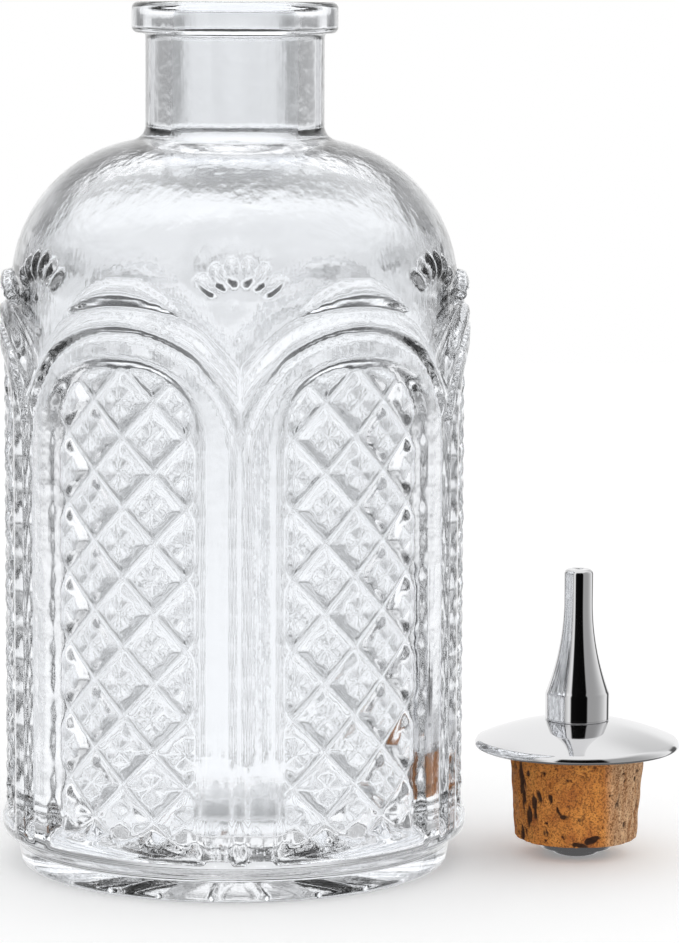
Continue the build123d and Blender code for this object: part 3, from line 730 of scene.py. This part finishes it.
# Gasket and dash insert: the rubber ring under the nozzle and the moulded plug in its tip.
# Both keep their shape from the frame and only get their finish here.
# Moulded rubber: black and matt.
rubber, tree = new_material("moulded_rubber")
shader = add(tree, "ShaderNodeBsdfPrincipled", None, Base_Color=linear(0x1E1E1F), Roughness=0.6)
add(tree, "ShaderNodeOutputMaterial", None, Surface=shader.outputs[0])
# Moulded polyethylene: milky white, with the soft shine of its mould.
polyethylene, tree = new_material("moulded_polyethylene")
shader = add(tree, "ShaderNodeBsdfPrincipled", None, Base_Color=linear(0xE4E3DF), Roughness=0.4)
add(tree, "ShaderNodeOutputMaterial", None, Surface=shader.outputs[0])
for node, finish in (("nozzle_gasket", rubber), ("dash_insert", polyethylene)):
    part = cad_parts[node]
    part.data.materials.clear()
    part.data.materials.append(finish)

# Table: matt white paper, which glows a little so that it fades into the white room. It is
# clear for rays that glass bends or metal mirrors, which see the room below the horizon.
table_half = 0.75
table_corners = np.array([(-1, -1, 0), (1, -1, 0), (1, 1, 0), (-1, 1, 0)]) * table_half
table = new_piece("table", table_corners, np.array([[0, 1, 2, 3]]))
paper, tree = new_material("white_table")
paths = add(tree, "ShaderNodeLightPath")
white = add(tree, "ShaderNodeBsdfDiffuse", None, Color=linear(0xF4F4F4))
glow = add(tree, "ShaderNodeEmission", None, Color=(1, 1, 1, 1), Strength=0.17)
lit = add(tree, "ShaderNodeAddShader", None, n0=white.outputs[0], n1=glow.outputs[0])
clear = add(tree, "ShaderNodeBsdfTransparent")
seen = add(tree, "ShaderNodeMixShader", None, Fac=paths.outputs["Is Glossy Ray"],
           n1=lit.outputs[0], n2=clear.outputs[0])
add(tree, "ShaderNodeOutputMaterial", None, Surface=seen.outputs[0])
table.data.materials.append(paper)

# Light: a white room. Rays that the glass bends see it with dark felt above the horizon, which
# draws the dark edges of the relief, and rays that the metal mirrors see it with dark cards
# round the object. Both are set by a ray's direction alone.
studio = bpy.data.worlds.new("studio")
bpy.context.scene.world = studio
studio.use_nodes = True
tree = studio.node_tree
tree.nodes.clear()
way = add(tree, "ShaderNodeTexCoord").outputs["Generated"]
parts = add(tree, "ShaderNodeSeparateXYZ", None, Vector=way)
turn = add(tree, "ShaderNodeMath", {"operation": "ARCTAN2"},
           n0=parts.outputs["Y"], n1=parts.outputs["X"])
paths = add(tree, "ShaderNodeLightPath")

# What the glass sees: pairs of height Z and level, for the four sides and the four corners of
# the room, which turn into each other by a soft step of the cosine of four times the direction,
# and the level straight below.
brightest = 1.5
facing = (
    (-0.25, 1.15), (-0.13, 1.08), (-0.06, 0.84), (-0.02, 0.88), (0.03, 0.95), (0.07, 1.15),
    (0.12, 1.1), (0.2, 0.06), (0.4, 0.06), (0.5, brightest))
corner = (
    (-0.25, 1.15), (-0.13, 1.0), (-0.06, 0.5), (0.03, 0.25), (0.07, 0.8), (0.12, 0.9),
    (0.2, 0.3), (0.4, 0.3), (0.5, brightest))
below = 1.095
up = add(tree, "ShaderNodeMath", {"operation": "MULTIPLY_ADD"},
         n0=parts.outputs["Z"], n1=0.5, n2=0.5)
ramps = []
for stops in (facing, corner):
    ramp = add(tree, "ShaderNodeValToRGB", None, Fac=up.outputs[0])
    for z, level in stops:
        grey = level / brightest
        ramp.color_ramp.elements.new(0.5 + z / 2).color = (grey, grey, grey, 1)
    ramp.color_ramp.elements[0].color = (below / brightest, below / brightest, below / brightest, 1)
    ramp.color_ramp.elements[-1].color = (1, 1, 1, 1)
    ramps.append(ramp.outputs[0])
quarter = add(tree, "ShaderNodeMath", {"operation": "MULTIPLY"}, n0=turn.outputs[0], n1=4.0)
facet = add(tree, "ShaderNodeMath", {"operation": "COSINE"}, n0=quarter.outputs[0])
off_side = add(tree, "ShaderNodeMapRange", {"interpolation_type": "SMOOTHSTEP"},
               Value=facet.outputs[0], From_Min=-0.2, From_Max=0.92, To_Min=1.0, To_Max=0.0)
room = add(tree, "ShaderNodeMix", {"data_type": "FLOAT"},
           Factor=off_side.outputs[0], A=ramps[0], B=ramps[1])
bent = add(tree, "ShaderNodeMath", {"operation": "MULTIPLY"}, n0=room.outputs[0], n1=brightest)

# What polished metal sees: a dark shelf below, and cards. Each card is its direction in degrees
# round from +X, half its width, its soft edge, its low and high Z, and its level.
cards = (
    (-90, 27, 6, -0.35, 0.8, 0.007),
    (-50, 10, 75, -0.5, 0.8, 0.4),
    (180, 30, 26, -0.5, 0.5, 0.4),
    (44, 5, 7, -0.5, 0.3, 0.12),
    (136, 5, 7, -0.5, 0.3, 0.12),
    (52, 8, 22, 0.3, 0.7, 0.7),
    (128, 8, 22, 0.3, 0.7, 0.7),
)
card_fade = 0.1
mirrored = add(tree, "ShaderNodeMapRange", {"interpolation_type": "SMOOTHSTEP"},
               Value=parts.outputs["Z"], From_Min=-0.6, From_Max=-0.4, To_Min=0.15, To_Max=1.0)
for direction, half_width, soft_edge, card_low, card_high, level in cards:
    off = add(tree, "ShaderNodeMath", {"operation": "SUBTRACT"},
              n0=turn.outputs[0], n1=radians(direction))
    aim = add(tree, "ShaderNodeMath", {"operation": "COSINE"}, n0=off.outputs[0])
    across = add(tree, "ShaderNodeMapRange", {"interpolation_type": "SMOOTHSTEP"},
                 Value=aim.outputs[0], From_Min=cos(radians(half_width + soft_edge)),
                 From_Max=cos(radians(half_width)))
    foot_side = add(tree, "ShaderNodeMapRange", {"interpolation_type": "SMOOTHSTEP"},
                    Value=parts.outputs["Z"], From_Min=card_low - card_fade,
                    From_Max=card_low + card_fade)
    head_side = add(tree, "ShaderNodeMapRange", {"interpolation_type": "SMOOTHSTEP"},
                    Value=parts.outputs["Z"], From_Min=card_high - card_fade,
                    From_Max=card_high + card_fade, To_Min=1.0, To_Max=0.0)
    upright = add(tree, "ShaderNodeMath", {"operation": "MULTIPLY"},
                  n0=foot_side.outputs[0], n1=head_side.outputs[0])
    card = add(tree, "ShaderNodeMath", {"operation": "MULTIPLY"},
               n0=upright.outputs[0], n1=across.outputs[0])
    shade = add(tree, "ShaderNodeMath", {"operation": "MULTIPLY_ADD"},
                n0=card.outputs[0], n1=level - 1, n2=1.0)
    mirrored = add(tree, "ShaderNodeMath", {"operation": "MULTIPLY"},
                   n0=mirrored.outputs[0], n1=shade.outputs[0])
only_mirrored = add(tree, "ShaderNodeMath", {"operation": "SUBTRACT"},
                    n0=paths.outputs["Is Glossy Ray"], n1=paths.outputs["Is Transmission Ray"])
plain_or_bent = add(tree, "ShaderNodeMix", {"data_type": "FLOAT"},
                    Factor=paths.outputs["Is Transmission Ray"], A=1.0, B=bent.outputs[0])
strength = add(tree, "ShaderNodeMix", {"data_type": "FLOAT"}, Factor=only_mirrored.outputs[0],
               A=plain_or_bent.outputs[0], B=mirrored.outputs[0])
sky = add(tree, "ShaderNodeBackground", None, Color=(1, 1, 1, 1), Strength=strength.outputs[0])
add(tree, "ShaderNodeOutputWorld", None, Surface=sky.outputs[0])

# Camera: a long lens half a metre in front of the bottle, looking a little down.
camera_data = bpy.data.cameras.new("camera")
camera_data.lens = 145.2
camera_data.sensor_width = 36
camera_data.clip_start = 0.01
camera = bpy.data.objects.new("camera", camera_data)
bpy.context.scene.collection.objects.link(camera)
camera.location = (-11.8 * mm, -516.1 * mm, 115.0 * mm)
yaw, tilt_down, roll = radians(2.9), radians(6.8), radians(0.25)
turned_right = Matrix.Rotation(-yaw, 3, "Z")
tilted = Matrix.Rotation(radians(90) - tilt_down, 3, "X")
camera.rotation_euler = (turned_right @ tilted @ Matrix.Rotation(roll, 3, "Z")).to_euler()
bpy.context.scene.camera = camera
bpy.context.scene.view_settings.view_transform = "Standard"
